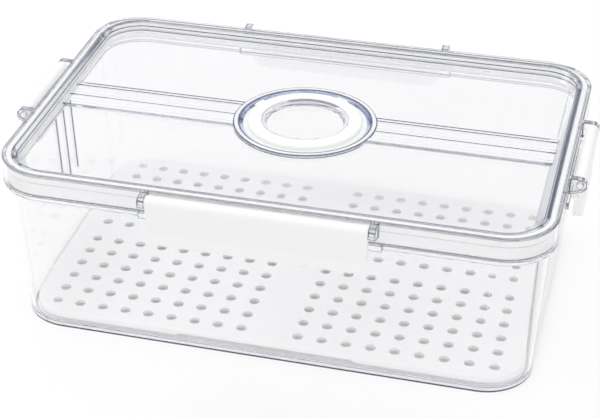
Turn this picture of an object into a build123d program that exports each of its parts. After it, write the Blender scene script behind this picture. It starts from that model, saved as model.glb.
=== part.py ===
"""Fridge organizer bin: a clear bin, a perforated drain tray, and a clear lid with a seal,
a turning dial ring and four snap latches. Millimetres, +Z up, origin under the middle of the base."""
import os
from math import acos, atan2, cos, hypot, pi, sin

from build123d import *

# Lid, over its skirt
lid_length = 301.2
lid_width = 203.4
lid_corner_radius = 28.5
lid_top = 101.7
lid_wall = 2.2
skirt_height = 13.4
lid_edge_radius = 1.0
skirt_edge_radius = 0.5

# Lid recess: a flat rim, a long round-over, a slope and a flat panel
rim_band = 6.3
slope_width = 6.2
recess_depth = 5.1
round_over = 5.0
panel_thickness = 2.2

# Lid underside: the plug wall that stands inside the bin's rim
plug_wall = 1.8
plug_overlap = 0.9
skirt_clearance = 0.35
plug_clearance = 0.35

# Raised strip along the panel: three low ribs on a plateau that is coved down at the front
strip_rise = 0.95
rib_spacing = 12.0
rib_width = 3.0
rib_rise = 0.5
cove_sink = 0.1
slope_bite = 2.2

# Seal in the lid's channel
seal_side_fit = 0.1
seal_rim_gap = 0.2

# Bin
flange_gap = 0.3
flange_thickness = 2.7
flange_overhang = 3.0
flange_edge_radius = 0.7
rim_height = 7.6
rim_wall = 2.2
rim_edge_radius = 0.4
wall_lean = 4.6
wall_corner_radius = 25.5
bin_wall = 2.2
floor_thickness = 2.5
base_corner_radius = 27.0
base_edge_radius = 0.8
cavity_edge_radius = 1.6

# Fine upright ribs inside both end walls, in line with the lid's ribs
wall_rib_width = 0.9
wall_rib_rise = 0.6
wall_rib_bottom = 40.0
wall_rib_top = 84.0

# Catch ledges under the flange
ledge_depth = 1.0
ledge_proud = 0.9
ledge_margin = 2.2

# Drain tray
tray_height = 4.35
tray_end_gap = 1.4
tray_side_gap = 3.0
tray_plate = 1.8
tray_skirt_wall = 1.6
tray_skirt_lift = 1.2
tray_edge_radius = 1.1
tray_foot_radius = 3.0
notch_length = 97.0
notch_slant = 3.0
hole_diameter = 6.0
hole_pitch = 13.5
hole_columns = 9
hole_rows = 6
group_gap_x = 32.0
group_gap_y = 19.6

# Dial seat moulded on the lid
collar_radius = 40.4
collar_top_radius = 37.0
collar_foot_radius = 34.8
collar_height = 1.7
collar_edge_radius = 0.4
hub_radius = 23.6
hub_top_radius = 22.9
hub_well_radius = 21.6
hub_height = 2.3
hub_lip = 0.8
hub_lip_height = 0.7
hub_well_depth = 0.6

# Dial ring
ring_radius = 32.2
ring_height = 2.6
ring_crown_radius = 1.4
ring_lip_radius = 0.5
ring_play = 0.08
ring_lip_clearance = 0.3
lug_radius = 34.4
lug_width = 7.0
lug_height = 1.5
lug_count = 2
lug_start_angle = 64.0
lug_spacing_angle = 90.0

# Latches and their hinges; side distances are measured outward from the skirt's face
long_latch_length = 117.7
short_latch_length = 59.2
pivot_offset = 5.4
pivot_drop = 3.9
barrel_radius = 3.8
pin_radius = 1.5
pin_play = 0.05
ear_thickness = 3.8
ear_radius = 3.7
ear_gap = 0.3
ear_root_height = 9.2
latch_height = 28.1
latch_back = 2.6
latch_web = 3.0
latch_corner_radius = 8.6
latch_edge_radius = 0.8
lip_height = 6.4
lip_flare = 1.2
crease_inset = 2.2
crease_radius = 2.5
pocket_bottom = 14.9
hook_bite = 1.8
hook_gap = 0.3
hook_thickness = 1.7
hook_margin = 9.0

# How far joined shapes run into each other
joint_depth = 1.0

# Heights that follow
skirt_bottom = lid_top - skirt_height
flange_top = skirt_bottom - flange_gap
flange_bottom = flange_top - flange_thickness
rim_top = flange_top + rim_height
panel_top = lid_top - recess_depth
panel_bottom = panel_top - panel_thickness
channel_top = lid_top - lid_wall
plug_bottom = rim_top - plug_overlap
ledge_bottom = flange_bottom - ledge_depth
pivot_height = lid_top - pivot_drop
latch_bottom = lid_top - latch_height
latch_top = pivot_height + barrel_radius
tray_top = floor_thickness + tray_height
plate_bottom = tray_top - tray_plate
strip_top = panel_top + strip_rise
rib_top = strip_top + rib_rise

# Distances inward from the skirt's outer face that follow
rim_inset = lid_wall + skirt_clearance
cavity_inset = rim_inset + rim_wall
plug_inset = cavity_inset + plug_clearance
well_inset = plug_inset + plug_wall
slope_foot_inset = rim_band + slope_width

# The slope's underside lies one panel thickness behind its face
slope_grade = recess_depth / slope_width
slope_drop = panel_thickness * hypot(1, slope_grade)
under_foot_inset = slope_foot_inset - (slope_drop - panel_thickness) / slope_grade
under_top = panel_bottom + (under_foot_inset - well_inset) * slope_grade

# Outward direction, reach and half latch length of each side of the lid
sides = {
    "front": (Vector(0, -1, 0), lid_width / 2, long_latch_length / 2),
    "back": (Vector(0, 1, 0), lid_width / 2, long_latch_length / 2),
    "left": (Vector(-1, 0, 0), lid_length / 2, short_latch_length / 2),
    "right": (Vector(1, 0, 0), lid_length / 2, short_latch_length / 2),
}


def lid_outline(inset):
    """The lid's outline, moved inward."""
    return RectangleRounded(lid_length - 2 * inset, lid_width - 2 * inset, lid_corner_radius - inset)


def wall_outline():
    """The outline of the bin's outer wall where it meets the flange."""
    length, width = lid_length - 2 * flange_overhang, lid_width - 2 * flange_overhang
    return RectangleRounded(length, width, wall_corner_radius)


def base_outline(inset):
    """The outline of the bin's base, moved inward."""
    lean = flange_overhang + wall_lean + inset
    return RectangleRounded(lid_length - 2 * lean, lid_width - 2 * lean, base_corner_radius - inset)


def tray_outline(inset):
    """The outline of the drain tray, moved inward."""
    lean = flange_overhang + wall_lean + bin_wall + inset
    length, width = lid_length - 2 * (lean + tray_end_gap), lid_width - 2 * (lean + tray_side_gap)
    return RectangleRounded(length, width, base_corner_radius - bin_wall - tray_end_gap - inset)


def section_plane(side, along):
    """The plane across one side: local X is outward from the skirt's face, local Y is height."""
    outward, reach, _ = sides[side]
    return Plane(origin=outward * reach, x_dir=outward, z_dir=outward.cross(Vector(0, 0, 1))).offset(along)


def face_plane(side):
    """The plane of one side of the skirt: local X is along the side, local Y is height."""
    outward, reach, _ = sides[side]
    return Plane(origin=outward * reach, x_dir=Vector(0, 0, 1).cross(outward), z_dir=outward)


def touch_point(centre, radius, outside, turn):
    """Where a line from an outside point touches a circle, on the side that turn (1 or -1) gives."""
    across, up = outside[0] - centre[0], outside[1] - centre[1]
    angle = atan2(up, across) + turn * acos(radius / hypot(across, up))
    return centre[0] + radius * cos(angle), centre[1] + radius * sin(angle)


def save(piece, name):
    """Label one finished piece and write it as its own STEP file."""
    piece.part.label = name
    export_step(piece.part, f"parts/{name}.step")


def make_ear(side, start):
    """One lid lug with the hole for a latch's pin, from a place along the side."""
    pivot = (pivot_offset, pivot_height)
    root_top = pivot_height + ear_radius
    root_bottom = (0, root_top - ear_root_height)
    lower_touch = touch_point(pivot, ear_radius, root_bottom, 1)
    with BuildPart() as ear:
        with BuildSketch(section_plane(side, start)):
            with BuildLine():
                Polyline(
                    (pivot_offset, root_top),
                    (-joint_depth, root_top),
                    (-joint_depth, root_bottom[1]),
                    root_bottom,
                    lower_touch,
                )
                ThreePointArc(lower_touch, (pivot_offset + ear_radius, pivot_height), (pivot_offset, root_top))
            make_face()
            with Locations(pivot):
                Circle(pin_radius + pin_play, mode=Mode.SUBTRACT)
        extrude(amount=ear_thickness)
    return ear.part


def make_latch(side):
    """One latch: a barrel on the hinge axis, a face plate with a flared lip, a hook and two pins."""
    outward, reach, half_length = sides[side]
    pivot = (pivot_offset, pivot_height)
    crease = (pivot_offset + barrel_radius - crease_inset, latch_bottom + lip_height)
    outer_touch = touch_point(pivot, barrel_radius, crease, 1)
    pocket_height = latch_bottom + pocket_bottom
    face_run = (outer_touch[0] - crease[0]) / (outer_touch[1] - crease[1])
    web_foot = (crease[0] + (pocket_height - crease[1]) * face_run - latch_web, pocket_height)
    inner_touch = touch_point(pivot, barrel_radius, web_foot, -1)
    hook_top = ledge_bottom - hook_gap
    hook_half = half_length - hook_margin
    pin_half = half_length + ear_gap + ear_thickness
    with BuildPart() as latch:
        with BuildSketch(section_plane(side, -half_length)) as section:
            with BuildLine():
                Polyline(
                    inner_touch,
                    web_foot,
                    (latch_back, pocket_height),
                    (latch_back, latch_bottom),
                    (crease[0] + lip_flare, latch_bottom),
                    crease,
                    outer_touch,
                )
                ThreePointArc(outer_touch, (pivot_offset, latch_top), inner_touch)
            make_face()
            fillet(section.vertices().sort_by_distance(crease)[0], crease_radius)
        extrude(amount=2 * half_length)
        with BuildSketch(face_plane(side)) as face:
            with Locations((0, latch_bottom)):
                Rectangle(2 * half_length, latch_top - latch_bottom, align=(Align.CENTER, Align.MIN))
            fillet(face.vertices().group_by(Axis.Y)[0], latch_corner_radius)
        extrude(amount=pivot_offset + 2 * barrel_radius, mode=Mode.INTERSECT)
        outer = latch.edges().filter_by_position(Axis(outward * reach, outward), pivot_offset, 2 * pivot_offset)
        lengthwise = outer.filter_by(Axis((0, 0, 0), Vector(0, 0, 1).cross(outward)))
        fillet(outer - lengthwise + outer.group_by(Axis.Z)[0], latch_edge_radius)
        with BuildSketch(section_plane(side, -hook_half)):
            with Locations((latch_back + joint_depth, hook_top)):
                Rectangle(
                    latch_back + joint_depth + hook_bite - ledge_proud,
                    hook_thickness,
                    align=(Align.MAX, Align.MAX),
                )
        extrude(amount=2 * hook_half)
        with BuildSketch(section_plane(side, -pin_half)):
            with Locations(pivot):
                Circle(pin_radius)
        extrude(amount=2 * pin_half)
    return latch


os.makedirs("parts", exist_ok=True)

# Bin: leaning walls, a flange under the lid's skirt, and an upright rim that goes up into the lid
with BuildPart() as cavity:
    with BuildSketch(Plane.XY.offset(floor_thickness)):
        base_outline(bin_wall)
    with BuildSketch(Plane.XY.offset(rim_top)):
        lid_outline(cavity_inset)
    loft()
    fillet(cavity.faces().sort_by(Axis.Z)[0].edges(), cavity_edge_radius)

with BuildPart() as flange:
    with BuildSketch(Plane.XY.offset(flange_bottom)):
        lid_outline(0)
    extrude(amount=flange_thickness)
    flange_edges = flange.edges().group_by(Axis.Z)
    fillet(flange_edges[0] + flange_edges[-1], flange_edge_radius)

with BuildPart() as bin_body:
    with BuildSketch(Plane.XY):
        base_outline(0)
    with BuildSketch(Plane.XY.offset(flange_top)):
        wall_outline()
    loft()
    fillet(bin_body.faces().sort_by(Axis.Z)[0].edges(), base_edge_radius)
    add(flange.part)
    with BuildSketch(Plane.XY.offset(flange_top)):
        lid_outline(rim_inset)
    extrude(amount=rim_height)
    for side, (_, _, half_latch) in sides.items():
        ledge_half = half_latch + ear_gap + ear_thickness + ledge_margin
        with BuildSketch(section_plane(side, -ledge_half)):
            with Locations((ledge_proud, ledge_bottom)):
                Rectangle(
                    ledge_proud + flange_overhang + joint_depth,
                    flange_top - ledge_bottom,
                    align=(Align.MAX, Align.MIN),
                )
        extrude(amount=2 * ledge_half)
    add(cavity.part, mode=Mode.SUBTRACT)
    fillet(bin_body.edges().group_by(Axis.Z)[-1], rim_edge_radius)
    # The inner face of an end wall, as inset from the lid's side at a height
    foot_inset = flange_overhang + wall_lean + bin_wall
    inner_grade = (foot_inset - cavity_inset) / (rim_top - floor_thickness)
    low_face = lid_length / 2 - foot_inset + inner_grade * (wall_rib_bottom - floor_thickness)
    high_face = lid_length / 2 - foot_inset + inner_grade * (wall_rib_top - floor_thickness)
    for rib_y in (-rib_spacing, 0, rib_spacing):
        with BuildSketch(Plane.XZ.offset(-rib_y - wall_rib_width / 2)):
            with BuildLine():
                Polyline(
                    (low_face - wall_rib_rise, wall_rib_bottom),
                    (low_face + joint_depth, wall_rib_bottom),
                    (high_face + joint_depth, wall_rib_top),
                    (high_face - wall_rib_rise, wall_rib_top),
                    close=True,
                )
            make_face()
            mirror(about=Plane.YZ)
        extrude(amount=wall_rib_width)
save(bin_body, "bin")

# Drain tray: a plate with four groups of holes, a skirt with a notch front and back, and nine feet
with BuildPart() as drain_tray:
    with BuildSketch(Plane.XY.offset(floor_thickness + tray_skirt_lift)):
        tray_outline(0)
    extrude(amount=tray_height - tray_skirt_lift)
    fillet(drain_tray.faces().sort_by(Axis.Z)[-1].edges(), tray_edge_radius)
    with BuildSketch(Plane.XY.offset(floor_thickness + tray_skirt_lift)):
        tray_outline(tray_skirt_wall)
    extrude(amount=plate_bottom - floor_thickness - tray_skirt_lift, mode=Mode.SUBTRACT)
    with BuildSketch(Plane.XZ):
        with BuildLine():
            Polyline(
                (-notch_length / 2, plate_bottom),
                (notch_length / 2, plate_bottom),
                (notch_length / 2 + notch_slant, floor_thickness),
                (-notch_length / 2 - notch_slant, floor_thickness),
                close=True,
            )
        make_face()
    extrude(amount=lid_width / 2, both=True, mode=Mode.SUBTRACT)
    group_step_x = group_gap_x + hole_pitch * (hole_columns - 1)
    group_step_y = group_gap_y + hole_pitch * (hole_rows - 1)
    with BuildSketch(Plane.XY.offset(plate_bottom)):
        with GridLocations(group_step_x, group_step_y, 2, 2):
            with GridLocations(hole_pitch, hole_pitch, hole_columns, hole_rows):
                Circle(hole_diameter / 2)
    extrude(amount=tray_plate, mode=Mode.SUBTRACT)
    # Each corner foot stands in the middle of four holes
    foot_step_x = group_gap_x / 2 + hole_pitch * (hole_columns - 1) - hole_pitch / 2
    foot_step_y = group_gap_y / 2 + hole_pitch * (hole_rows - 1) - hole_pitch / 2
    with BuildSketch(Plane.XY.offset(floor_thickness)):
        with GridLocations(foot_step_x, foot_step_y, 3, 3):
            Circle(tray_foot_radius)
    extrude(amount=plate_bottom - floor_thickness)
save(drain_tray, "drain_tray")

# Lid: a skirt and rim, a sloped recess, a plug wall beneath, the ribbed strip, the dial seat and the ears
with BuildPart() as slope_relief:
    with BuildSketch(Plane.XY.offset(panel_bottom)):
        lid_outline(under_foot_inset)
    with BuildSketch(Plane.XY.offset(under_top)):
        lid_outline(well_inset)
    loft()

with BuildPart() as well:
    with BuildSketch(Plane.XY.offset(skirt_bottom)):
        lid_outline(well_inset)
    extrude(amount=under_top - skirt_bottom)
    add(slope_relief.part, mode=Mode.SUBTRACT)

hub_top = panel_top + hub_height
collar_top = panel_top + collar_height
with BuildPart() as dial_seat:
    with BuildSketch(Plane.XZ) as collar_section:
        with BuildLine():
            Polyline(
                (0, panel_top - joint_depth),
                (collar_radius, panel_top - joint_depth),
                (collar_radius, collar_top),
                (collar_top_radius, collar_top),
                (collar_foot_radius, panel_top),
                (0, panel_top),
                close=True,
            )
        make_face()
        fillet(collar_section.vertices().group_by(Axis.Y)[-1].sort_by(Axis.X)[-1], collar_edge_radius)
    revolve(axis=Axis.Z)
    with BuildSketch(Plane.XZ):
        with BuildLine():
            Polyline(
                (0, panel_top - joint_depth),
                (hub_radius, panel_top - joint_depth),
                (hub_radius, hub_top - hub_lip_height),
                (hub_radius + hub_lip, hub_top - hub_lip_height),
                (hub_radius + hub_lip, hub_top),
                (0, hub_top),
                close=True,
            )
        make_face()
    revolve(axis=Axis.Z)

with BuildPart() as lid:
    with BuildSketch(Plane.XY.offset(skirt_bottom)):
        lid_outline(0)
    extrude(amount=skirt_height)
    with BuildSketch(Plane.XY.offset(panel_top)):
        lid_outline(slope_foot_inset)
    with BuildSketch(Plane.XY.offset(lid_top)):
        lid_outline(rim_band)
    loft(mode=Mode.SUBTRACT)
    fillet(lid.faces().sort_by(Axis.Z)[-1].inner_wires()[0].edges(), round_over)
    fillet(lid.faces().sort_by(Axis.Z)[-1].outer_wire().edges(), lid_edge_radius)
    fillet(lid.faces().sort_by(Axis.Z)[0].edges(), skirt_edge_radius)
    with BuildSketch(Plane.XY.offset(skirt_bottom)):
        lid_outline(lid_wall)
    extrude(amount=plug_bottom - skirt_bottom, mode=Mode.SUBTRACT)
    with BuildSketch(Plane.XY.offset(plug_bottom)):
        lid_outline(lid_wall)
        add(lid_outline(plug_inset), mode=Mode.SUBTRACT)
    extrude(amount=channel_top - plug_bottom, mode=Mode.SUBTRACT)
    add(well.part, mode=Mode.SUBTRACT)
    # The strip is as wide as its outer ribs reach, and both its ends run into the slopes
    strip_reach = lid_length / 2 - slope_foot_inset + slope_bite
    strip_front = -rib_spacing - rib_width / 2
    strip_root = panel_top - joint_depth
    cove_radius = rib_top - panel_top
    cove_lean = cove_radius * (1 - cos(pi / 4))
    with BuildSketch(Plane.YZ.offset(-strip_reach)):
        with Locations((0, strip_root)):
            Rectangle(-2 * strip_front, strip_top - strip_root, align=(Align.CENTER, Align.MIN))
            with GridLocations(rib_spacing, 0, 3, 1):
                Rectangle(rib_width, rib_top - strip_root, align=(Align.CENTER, Align.MIN))
        with BuildLine():
            Polyline(
                (strip_front, rib_top - cove_sink),
                (strip_front, strip_root),
                (strip_front - cove_radius, strip_root),
                (strip_front - cove_radius, panel_top - cove_sink),
            )
            ThreePointArc(
                (strip_front - cove_radius, panel_top - cove_sink),
                (strip_front - cove_lean, panel_top - cove_sink + cove_lean),
                (strip_front, rib_top - cove_sink),
            )
        make_face()
    extrude(amount=2 * strip_reach)
    with BuildSketch(Plane.XY.offset(panel_top)):
        Circle(collar_radius - joint_depth)
    extrude(amount=rib_top - panel_top, mode=Mode.SUBTRACT)
    # Dial seat: a collar with a coned inner face, and a lipped hub with a shallow well
    add(dial_seat.part)
    with BuildSketch(Plane.XZ):
        with BuildLine():
            Polyline(
                (0, panel_top - hub_well_depth),
                (hub_well_radius, panel_top - hub_well_depth),
                (hub_top_radius, hub_top),
                (0, hub_top),
                close=True,
            )
        make_face()
    revolve(axis=Axis.Z, mode=Mode.SUBTRACT)
    for side, (_, _, half_latch) in sides.items():
        ear_start = half_latch + ear_gap
        add(make_ear(side, ear_start))
        add(make_ear(side, -ear_start - ear_thickness))
save(lid, "lid")

# Seal: one ring that fills the channel above the bin's rim
with BuildPart() as lid_gasket:
    with BuildSketch(Plane.XY.offset(rim_top + seal_rim_gap)):
        lid_outline(lid_wall + seal_side_fit)
        add(lid_outline(plug_inset - seal_side_fit), mode=Mode.SUBTRACT)
    extrude(amount=channel_top - rim_top - seal_rim_gap)
save(lid_gasket, "lid_gasket")

# Dial ring: turns on the hub under its lip, with two lugs that run inside the collar's foot
ring_bore = hub_radius + ring_play
ring_bottom = panel_top + ring_play
ring_shoulder = hub_top - hub_lip_height - ring_lip_clearance
ring_mouth = hub_radius + hub_lip + ring_lip_clearance
with BuildPart() as dial_ring:
    with BuildSketch(Plane.XZ) as ring_section:
        with BuildLine():
            Polyline(
                (ring_bore, ring_bottom),
                (ring_radius, ring_bottom),
                (ring_radius, ring_bottom + ring_height),
                (ring_mouth, ring_bottom + ring_height),
                (ring_mouth, ring_shoulder),
                (ring_bore, ring_shoulder),
                close=True,
            )
        make_face()
        mouth_corner, crown_corner = ring_section.vertices().group_by(Axis.Y)[-1].sort_by(Axis.X)
        fillet(crown_corner, ring_crown_radius)
        fillet(mouth_corner, ring_lip_radius)
    revolve(axis=Axis.Z)
    with BuildSketch(Plane.XY.offset(ring_bottom)):
        with PolarLocations(lug_radius, lug_count, lug_start_angle, lug_spacing_angle, endpoint=True):
            Rectangle(2 * (lug_radius - ring_radius + joint_depth), lug_width)
        Circle(lug_radius, mode=Mode.INTERSECT)
    extrude(amount=lug_height)
save(dial_ring, "dial_ring")

# Four snap latches
for side in sides:
    save(make_latch(side), f"latch_{side}")
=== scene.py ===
"""Looks of the fridge organizer bin: clear and white moulded plastic, a silicone seal,
and the floor, light and camera around them. Metres."""

import bpy
from mathutils import Matrix, Vector

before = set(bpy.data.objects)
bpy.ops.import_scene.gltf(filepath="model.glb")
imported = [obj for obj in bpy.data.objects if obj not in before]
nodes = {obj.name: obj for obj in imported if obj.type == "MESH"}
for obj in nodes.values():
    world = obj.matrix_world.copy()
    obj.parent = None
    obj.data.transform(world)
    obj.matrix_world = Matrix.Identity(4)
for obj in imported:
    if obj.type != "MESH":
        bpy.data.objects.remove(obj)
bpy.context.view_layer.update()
scene = bpy.context.scene

# Camera: where it stands, its right and up directions, and its lens
CAMERA_PLACE = Vector((0.20158, -0.85077, 0.56879))
CAMERA_RIGHT = Vector((0.96038, 0.27834, -0.01417))
CAMERA_UP = Vector((-0.13236, 0.50029, 0.85568))
LENS_MM = 106.10
SENSOR_MM = 36.0
SHIFT_X = 0.14
CLIP_START = 0.01
CLIP_END = 50.0

# Floor
FLOOR_SIZE = 8.0
FLOOR_COLOUR = (0.80, 0.80, 0.80, 1)
FLOOR_GLOW = 0.12
FLOOR_DROP = 0.0004

# Lamps: name, place, aim, width, depth, watts
LAMPS = (
    ("key_softbox", (-0.9, 0.7, 1.9), (0, 0, 0.05), 1.2, 1.2, 9.0),
)

# World: light on opaque surfaces, stronger from above and in front
SKY_UP = (0, -0.7, 0.7)
SKY_LOW = (0.76, 0.76, 0.76, 1)
SKY_HIGH = (1.08, 1.08, 1.08, 1)
SKY_START = -0.5
SKY_FULL = 1.0
WHITE = (1, 1, 1, 1)

# World: what clear plastic shows, a pale tent with a darker gap near the horizon
TENT_COLOUR = (0.925, 0.925, 0.94, 1)
GAP_COLOUR = (0.16, 0.20, 0.32, 1)
GAP_LOW = 0.10
GAP_HIGH = 0.55

# Clear plastic: surface, and the tint that builds up inside
CLEAR_IOR = 1.5
FINE_NOISE = (60.0, 3.0)
FINE_ROUGHNESS = 0.05
WAVE_NOISE = (14.0, 1.0)
WAVE_BUMP = (0.02, 0.002)
SEE_THROUGH = (0.995, 0.995, 0.995, 1)
ABSORB_COLOUR = (0.40, 0.45, 0.62, 1)
BIN_TINT = (0.99, 0.99, 0.992, 1)
BIN_DENSITY = 1.2
LID_TINT = (0.985, 0.985, 0.99, 1)
LID_DENSITY = 2.0

# Painted dark lines on the sharp edges of the clear plastic, standing in for the dark reflections and
# refractions there: the reach of their line, and the cosines where it starts and is full
PAINTED_EDGE_DARK_COLOUR = (0.03, 0.04, 0.08, 1)
LINE_REACH = 0.0012
LINE_SAMPLES = 8
LINE_START = 0.96
LINE_FULL = 0.90

# Fillets and the lid's round-over get fainter painted dark lines, by the upright part of the normal: middle,
# half, fade
FILLET_BAND = (0.53, 0.10, 0.07)
ROUND_OVER_BAND = (0.94, 0.035, 0.015)
SOFT_LINE = 0.8

# Round the dial and on the lid's strip only sharp edges get painted dark lines, which are faint on the strip
DIAL_REACH = 0.05
LID_PANEL = 0.0955
STRIP_REACH = 0.019
STRIP_END = 0.1355
STRIP_LINE = 0.35

# The strip's back line, painted dark: middle, half and fade
STRIP_BACK = (0.0130, 0.0006, 0.0002)

# Painted dark lines round the top of the dial's collar: radius, half and fade
COLLAR_EDGE = (0.0401, 0.0003, 0.0002)
COLLAR_STEP = (0.0372, 0.0005, 0.0002)
COLLAR_RADIUS = 0.0404
COLLAR_LOW = 0.0979

# Painted blue band on the collar's cone, standing in for the refraction seen there: radius, half and fade
CONE_PAINTED_BLUE = (0.42, 0.50, 0.78, 1)
CONE_BAND = (0.0359, 0.0008, 0.0005)

# The base's lower edge is one painted dark line, up to this height, and the flat underside stays clear
BASE_LINE_TOP = 0.0015
FLAT_UNDERSIDE = 0.985

# Upright faces of the bin turned partly white: the base's edge, painted light standing in for light carried
# inside the clear base, and the milky rim: lowest and highest place
WHITENED_EDGE = (0.0015, 0.0032)
EDGE_PAINTED_LIGHT = 0.7
MILKY_RIM = (0.0885, 0.0957)
RIM_MILK = 0.45
RIM_ROUGHNESS = 0.35
UPRIGHT = 0.5

# Opaque plastic and silicone: colour, roughness, scale of the grain and share of subsurface light
TRAY_PLASTIC = ((0.84, 0.84, 0.85, 1), 0.32, 900.0, 0.5)
WHITE_PLASTIC = ((0.92, 0.92, 0.922, 1), 0.32, 900.0, 0.15)
SILICONE = ((0.94, 0.94, 0.945, 1), 0.5, 500.0, 0.3)
GLOSS_NOISE = (25.0, 3.0)
GLOSS_SPREAD = 0.06
GRAIN_DETAIL = 2.0
GRAIN_STRENGTH = 0.15
GRAIN_DEPTH = 0.0001
SUBSURFACE_RADIUS = (0.004, 0.004, 0.004)

# Glow of the back latch's faces towards the front
INNER_GLOW = 0.14
INNER_FACING = 0.6

# Glow of the tray's upright and lower faces, which lightens its holes
HOLE_GLOW = 0.10

# Light paths, deep enough for the many layers of clear plastic
CLEAR_BOUNCES = 64
DIFFUSE_BOUNCES = 4
TRANSPARENT_BOUNCES = 32


def node_tree(name):
    """A new material with an empty node tree, and its nodes and links."""
    material = bpy.data.materials.new(name)
    material.use_nodes = True
    material.node_tree.nodes.clear()
    return material, material.node_tree.nodes, material.node_tree.links


def object_place(nodes_):
    """Places on the object."""
    return nodes_.new("ShaderNodeTexCoord").outputs["Object"]


def noise(nodes_, links, scale, detail):
    """A noise texture in object space."""
    texture = nodes_.new("ShaderNodeTexNoise")
    texture.inputs["Scale"].default_value = scale
    texture.inputs["Detail"].default_value = detail
    links.new(object_place(nodes_), texture.inputs["Vector"])
    return texture.outputs["Fac"]


def ramp(nodes_, links, source, low, high):
    """Maps a value from 0..1 to low..high."""
    mapper = nodes_.new("ShaderNodeMapRange")
    mapper.inputs["To Min"].default_value = low
    mapper.inputs["To Max"].default_value = high
    links.new(source, mapper.inputs["Value"])
    return mapper.outputs["Result"]


def step(nodes_, links, source, start, full):
    """Goes smoothly from 0 at start to 1 at full, in either direction."""
    mapper = nodes_.new("ShaderNodeMapRange")
    mapper.interpolation_type = "SMOOTHSTEP"
    mapper.inputs["From Min"].default_value = start
    mapper.inputs["From Max"].default_value = full
    links.new(source, mapper.inputs["Value"])
    return mapper.outputs["Result"]


def math(nodes_, links, operation, *values):
    """A math node on sockets and numbers."""
    node = nodes_.new("ShaderNodeMath")
    node.operation = operation
    for value, socket in zip(values, node.inputs):
        if isinstance(value, bpy.types.NodeSocket):
            links.new(value, socket)
        else:
            socket.default_value = value
    return node.outputs[0]


def band(nodes_, links, value, middle, half, fade):
    """1 where a value is near the middle, else 0."""
    away = math(nodes_, links, "ABSOLUTE", math(nodes_, links, "SUBTRACT", value, middle))
    return step(nodes_, links, away, half + fade, half)


def bump(nodes_, links, source, strength, distance):
    """A bumped normal from a height."""
    node = nodes_.new("ShaderNodeBump")
    node.inputs["Strength"].default_value = strength
    node.inputs["Distance"].default_value = distance
    links.new(source, node.inputs["Height"])
    return node.outputs["Normal"]


def between(nodes_, links, factor, first, second):
    """A mix of two shaders."""
    mix = nodes_.new("ShaderNodeMixShader")
    links.new(factor, mix.inputs["Fac"])
    links.new(first, mix.inputs[1])
    links.new(second, mix.inputs[2])
    return mix.outputs["Shader"]


def place_of(nodes_, links):
    """The place from front to back, the height, and the distance from the dial's axis."""
    place = nodes_.new("ShaderNodeSeparateXYZ")
    links.new(object_place(nodes_), place.inputs[0])
    x, y, z = place.outputs
    squares = [math(nodes_, links, "POWER", side, 2) for side in (x, y)]
    return y, z, math(nodes_, links, "SQRT", math(nodes_, links, "ADD", *squares))


def normal_side(nodes_, links, side):
    """One side of the surface's normal."""
    split = nodes_.new("ShaderNodeSeparateXYZ")
    links.new(nodes_.new("ShaderNodeNewGeometry").outputs["Normal"], split.inputs[0])
    return split.outputs[side]


def sharp_edges(nodes_, links):
    """1 near a sharp edge, else 0."""
    rounded = nodes_.new("ShaderNodeBevel")
    rounded.samples = LINE_SAMPLES
    rounded.inputs["Radius"].default_value = LINE_REACH
    geometry = nodes_.new("ShaderNodeNewGeometry")
    bend = nodes_.new("ShaderNodeVectorMath")
    bend.operation = "DOT_PRODUCT"
    links.new(rounded.outputs["Normal"], bend.inputs[0])
    links.new(geometry.outputs["Normal"], bend.inputs[1])
    return step(nodes_, links, bend.outputs["Value"], LINE_START, LINE_FULL)


def painted_edge_dark(nodes_, links):
    """How much painted dark line there is, standing in for dark reflections and refractions: edges, fillets,
    the strip's back, the collar's rings, the base's edge.
    """
    tilt = math(nodes_, links, "ABSOLUTE", normal_side(nodes_, links, "Z"))
    fillet = band(nodes_, links, tilt, *FILLET_BAND)
    round_over = band(nodes_, links, tilt, *ROUND_OVER_BAND)
    y, z, away = place_of(nodes_, links)
    high = math(nodes_, links, "GREATER_THAN", z, LID_PANEL)
    middle = math(nodes_, links, "LESS_THAN", math(nodes_, links, "ABSOLUTE", y), STRIP_REACH)
    short = math(nodes_, links, "LESS_THAN", away, STRIP_END)
    strip = math(nodes_, links, "MULTIPLY", math(nodes_, links, "MULTIPLY", high, middle), short)
    off_strip = math(nodes_, links, "SUBTRACT", 1.0, strip)
    beyond_dial = math(nodes_, links, "GREATER_THAN", away, DIAL_REACH)
    soft = math(nodes_, links, "MULTIPLY", math(nodes_, links, "MAXIMUM", fillet, round_over), beyond_dial)
    soft = math(nodes_, links, "MULTIPLY", soft, math(nodes_, links, "MULTIPLY", off_strip, SOFT_LINE))
    strength = math(nodes_, links, "MAXIMUM", off_strip, STRIP_LINE)
    sharp = math(nodes_, links, "MULTIPLY", sharp_edges(nodes_, links), strength)
    beyond_collar = math(nodes_, links, "GREATER_THAN", away, COLLAR_RADIUS)
    back = math(nodes_, links, "MULTIPLY", band(nodes_, links, y, *STRIP_BACK), beyond_collar)
    back = math(nodes_, links, "MULTIPLY", back, strip)
    both = [band(nodes_, links, away, *ring) for ring in (COLLAR_EDGE, COLLAR_STEP)]
    on_collar = math(nodes_, links, "GREATER_THAN", z, COLLAR_LOW)
    rings = math(nodes_, links, "MULTIPLY", math(nodes_, links, "MAXIMUM", *both), on_collar)
    rings = math(nodes_, links, "MAXIMUM", rings, back)
    low = math(nodes_, links, "LESS_THAN", z, BASE_LINE_TOP)
    base = math(nodes_, links, "MULTIPLY", low, math(nodes_, links, "LESS_THAN", tilt, FLAT_UNDERSIDE))
    lines = math(nodes_, links, "MAXIMUM", math(nodes_, links, "MAXIMUM", sharp, soft), rings)
    return math(nodes_, links, "MAXIMUM", lines, base)


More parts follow.
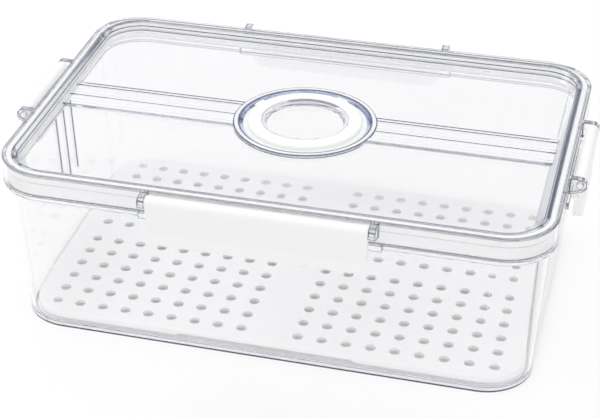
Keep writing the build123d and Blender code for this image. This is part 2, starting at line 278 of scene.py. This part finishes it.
def tinted(nodes_, links, amount, colour, tint):
    """A colour, or a tint in its place as far as the amount says."""
    hue = nodes_.new("ShaderNodeMix")
    hue.data_type = "RGBA"
    factor, first, second = (socket for socket in hue.inputs if socket.enabled)
    links.new(amount, factor)
    if isinstance(colour, bpy.types.NodeSocket):
        links.new(colour, first)
    else:
        first.default_value = colour
    second.default_value = tint
    return next(socket for socket in hue.outputs if socket.enabled)


def upright_between(nodes_, links, low, high):
    """1 on upright faces between two heights, else 0."""
    _, z, _ = place_of(nodes_, links)
    above = math(nodes_, links, "GREATER_THAN", z, low)
    within = math(nodes_, links, "MULTIPLY", above, math(nodes_, links, "LESS_THAN", z, high))
    tilt = math(nodes_, links, "ABSOLUTE", normal_side(nodes_, links, "Z"))
    return math(nodes_, links, "MULTIPLY", within, math(nodes_, links, "LESS_THAN", tilt, UPRIGHT))


def whiten_edge_and_rim(nodes_, links, glass, fine):
    """Whitens the base's edge as painted light, and clouds the upright rim of the bin."""
    edge = math(nodes_, links, "MULTIPLY", upright_between(nodes_, links, *WHITENED_EDGE), EDGE_PAINTED_LIGHT)
    rim = upright_between(nodes_, links, *MILKY_RIM)
    whitening = math(nodes_, links, "MAXIMUM", edge, math(nodes_, links, "MULTIPLY", rim, RIM_MILK))
    links.new(math(nodes_, links, "SUBTRACT", 1.0, whitening), glass.inputs["Transmission Weight"])
    rough = math(nodes_, links, "MULTIPLY", rim, RIM_ROUGHNESS)
    links.new(math(nodes_, links, "MAXIMUM", fine, rough), glass.inputs["Roughness"])


def clear_plastic(name, tint, density, whitened):
    """Clear moulded plastic: painted dark lines on its edges, a painted blue band on the cone round the
    dial, a faint waviness, a tint inside.
    """
    material, nodes_, links = node_tree(name)
    glass = nodes_.new("ShaderNodeBsdfPrincipled")
    _, z, away = place_of(nodes_, links)
    # Painted blue band on the collar's cone, standing in for refraction
    painted_cone_blue = band(nodes_, links, away, *CONE_BAND)
    painted_cone_blue = math(nodes_, links, "MULTIPLY", painted_cone_blue, math(nodes_, links, "GREATER_THAN", z, LID_PANEL))
    hue = tinted(nodes_, links, painted_cone_blue, tint, CONE_PAINTED_BLUE)
    # Painted dark lines on the edges, standing in for dark reflections and refractions
    hue = tinted(nodes_, links, painted_edge_dark(nodes_, links), hue, PAINTED_EDGE_DARK_COLOUR)
    links.new(hue, glass.inputs["Base Color"])
    glass.inputs["Transmission Weight"].default_value = 1.0
    glass.inputs["IOR"].default_value = CLEAR_IOR
    fine = ramp(nodes_, links, noise(nodes_, links, *FINE_NOISE), 0.0, FINE_ROUGHNESS)
    links.new(fine, glass.inputs["Roughness"])
    # The bin's base edge gets painted light, its rim is clouded
    if whitened:
        whiten_edge_and_rim(nodes_, links, glass, fine)
    links.new(bump(nodes_, links, noise(nodes_, links, *WAVE_NOISE), *WAVE_BUMP), glass.inputs["Normal"])
    see_through = nodes_.new("ShaderNodeBsdfTransparent")
    see_through.inputs["Color"].default_value = SEE_THROUGH
    path = nodes_.new("ShaderNodeLightPath")
    surface = glass.outputs["BSDF"]
    for kind in ("Is Diffuse Ray", "Is Shadow Ray"):
        surface = between(nodes_, links, path.outputs[kind], surface, see_through.outputs["BSDF"])
    absorb = nodes_.new("ShaderNodeVolumeAbsorption")
    absorb.inputs["Color"].default_value = ABSORB_COLOUR
    absorb.inputs["Density"].default_value = density
    out = nodes_.new("ShaderNodeOutputMaterial")
    links.new(surface, out.inputs["Surface"])
    links.new(absorb.outputs["Volume"], out.inputs["Volume"])
    return material


def moulded(name, colour, roughness, grain_scale, subsurface):
    """Opaque moulded plastic or silicone with a fine grain and slight unevenness in gloss."""
    material, nodes_, links = node_tree(name)
    body = nodes_.new("ShaderNodeBsdfPrincipled")
    body.inputs["Base Color"].default_value = colour
    body.inputs["Subsurface Weight"].default_value = subsurface
    body.inputs["Subsurface Radius"].default_value = SUBSURFACE_RADIUS
    low, high = roughness - GLOSS_SPREAD, roughness + GLOSS_SPREAD
    links.new(ramp(nodes_, links, noise(nodes_, links, *GLOSS_NOISE), low, high), body.inputs["Roughness"])
    grain = noise(nodes_, links, grain_scale, GRAIN_DETAIL)
    links.new(bump(nodes_, links, grain, GRAIN_STRENGTH, GRAIN_DEPTH), body.inputs["Normal"])
    out = nodes_.new("ShaderNodeOutputMaterial")
    links.new(body.outputs["BSDF"], out.inputs["Surface"])
    return material


def glow_on(material, side, limit, strength):
    """A faint glow on the faces whose normal is below a limit along one side."""
    nodes_, links = material.node_tree.nodes, material.node_tree.links
    found = math(nodes_, links, "LESS_THAN", normal_side(nodes_, links, side), limit)
    body = next(node for node in nodes_ if node.type == "BSDF_PRINCIPLED")
    body.inputs["Emission Color"].default_value = WHITE
    links.new(math(nodes_, links, "MULTIPLY", found, strength), body.inputs["Emission Strength"])


def dress(node, material):
    """Gives a CAD node one material."""
    mesh = nodes[node].data
    for index in range(len(mesh.materials)):
        mesh.materials[index] = material
    if not mesh.materials:
        mesh.materials.append(material)


def ray_is(nodes_, links, kinds):
    """1 for the named kinds of ray, else 0."""
    path = nodes_.new("ShaderNodeLightPath")
    found = path.outputs[kinds[0]]
    for kind in kinds[1:]:
        found = math(nodes_, links, "MAXIMUM", found, path.outputs[kind])
    return found


def make_floor():
    """A pale floor that renders near white and keeps the object's shadow."""
    bpy.ops.mesh.primitive_plane_add(size=FLOOR_SIZE, location=(0, 0, -FLOOR_DROP))
    floor = bpy.context.object
    floor.name = "floor"
    material, nodes_, links = node_tree("floor_paper")
    paper = nodes_.new("ShaderNodeBsdfDiffuse")
    paper.inputs["Color"].default_value = FLOOR_COLOUR
    glow = nodes_.new("ShaderNodeEmission")
    glow.inputs["Color"].default_value = WHITE
    seen = ray_is(nodes_, links, ("Is Camera Ray", "Is Transmission Ray", "Is Glossy Ray"))
    links.new(math(nodes_, links, "MULTIPLY", seen, FLOOR_GLOW), glow.inputs["Strength"])
    both = nodes_.new("ShaderNodeAddShader")
    links.new(paper.outputs["BSDF"], both.inputs[0])
    links.new(glow.outputs["Emission"], both.inputs[1])
    out = nodes_.new("ShaderNodeOutputMaterial")
    links.new(both.outputs["Shader"], out.inputs["Surface"])
    floor.data.materials.append(material)


def make_lamps():
    """Soft boxes aimed at the object."""
    for name, place, aim, width, depth, watts in LAMPS:
        data = bpy.data.lights.new(name, "AREA")
        data.shape = "RECTANGLE"
        data.size = width
        data.size_y = depth
        data.energy = watts
        lamp = bpy.data.objects.new(name, data)
        lamp.location = place
        lamp.rotation_euler = (Vector(aim) - Vector(place)).to_track_quat("-Z", "Y").to_euler()
        scene.collection.objects.link(lamp)


def backdrop(nodes_, colour):
    """A world background of one colour."""
    node = nodes_.new("ShaderNodeBackground")
    node.inputs["Color"].default_value = colour
    return node.outputs["Background"]


def facing(nodes_, links, direction):
    """How far the world's direction points along the given one, from -1 to 1."""
    node = nodes_.new("ShaderNodeVectorMath")
    node.operation = "DOT_PRODUCT"
    node.inputs[1].default_value = Vector(direction).normalized()
    links.new(nodes_.new("ShaderNodeTexCoord").outputs["Generated"], node.inputs[0])
    return node.outputs["Value"]


def make_world():
    """Soft light from above, white to the camera, and a tent with a gap for the clear plastic."""
    world = bpy.data.worlds.new("studio")
    world.use_nodes = True
    nodes_, links = world.node_tree.nodes, world.node_tree.links
    nodes_.clear()
    height = step(nodes_, links, facing(nodes_, links, SKY_UP), SKY_START, SKY_FULL)
    sky = between(nodes_, links, height, backdrop(nodes_, SKY_LOW), backdrop(nodes_, SKY_HIGH))
    above_gap = step(nodes_, links, facing(nodes_, links, (0, 0, 1)), GAP_LOW, GAP_HIGH)
    tent = between(nodes_, links, above_gap, backdrop(nodes_, GAP_COLOUR), backdrop(nodes_, TENT_COLOUR))
    in_clear = ray_is(nodes_, links, ("Is Glossy Ray", "Is Transmission Ray"))
    light = between(nodes_, links, in_clear, sky, tent)
    seen = between(nodes_, links, ray_is(nodes_, links, ("Is Camera Ray",)), light, backdrop(nodes_, WHITE))
    out = nodes_.new("ShaderNodeOutputWorld")
    links.new(seen, out.inputs["Surface"])
    scene.world = world


def make_camera():
    """The photograph's viewpoint."""
    data = bpy.data.cameras.new("camera")
    data.lens = LENS_MM
    data.sensor_width = SENSOR_MM
    data.sensor_fit = "HORIZONTAL"
    data.shift_x = SHIFT_X
    data.clip_start = CLIP_START
    data.clip_end = CLIP_END
    camera = bpy.data.objects.new("camera", data)
    right = CAMERA_RIGHT.normalized()
    up = (CAMERA_UP - CAMERA_UP.dot(right) * right).normalized()
    back = right.cross(up)
    turn = Matrix((right, up, back)).transposed().to_4x4()
    camera.matrix_world = Matrix.Translation(CAMERA_PLACE) @ turn
    scene.collection.objects.link(camera)
    scene.camera = camera


clear_bin = clear_plastic("clear_bin", BIN_TINT, BIN_DENSITY, whitened=True)
clear_lid = clear_plastic("clear_lid", LID_TINT, LID_DENSITY, whitened=False)
tray_plastic = moulded("tray_plastic", *TRAY_PLASTIC)
white_plastic = moulded("white_plastic", *WHITE_PLASTIC)
silicone = moulded("white_silicone", *SILICONE)
back_plastic = moulded("back_latch_plastic", *WHITE_PLASTIC)
glow_on(back_plastic, "Y", -INNER_FACING, INNER_GLOW)
glow_on(tray_plastic, "Z", UPRIGHT, HOLE_GLOW)

dress("bin", clear_bin)
dress("lid", clear_lid)
dress("lid_gasket", silicone)
dress("drain_tray", tray_plastic)
dress("latch_back", back_plastic)
for name in ("dial_ring", "latch_front", "latch_left", "latch_right"):
    dress(name, white_plastic)

make_floor()
make_lamps()
make_world()
make_camera()

scene.view_settings.view_transform = "Standard"
scene.cycles.max_bounces = CLEAR_BOUNCES
scene.cycles.transmission_bounces = CLEAR_BOUNCES
scene.cycles.glossy_bounces = CLEAR_BOUNCES
scene.cycles.diffuse_bounces = DIFFUSE_BOUNCES
scene.cycles.transparent_max_bounces = TRANSPARENT_BOUNCES
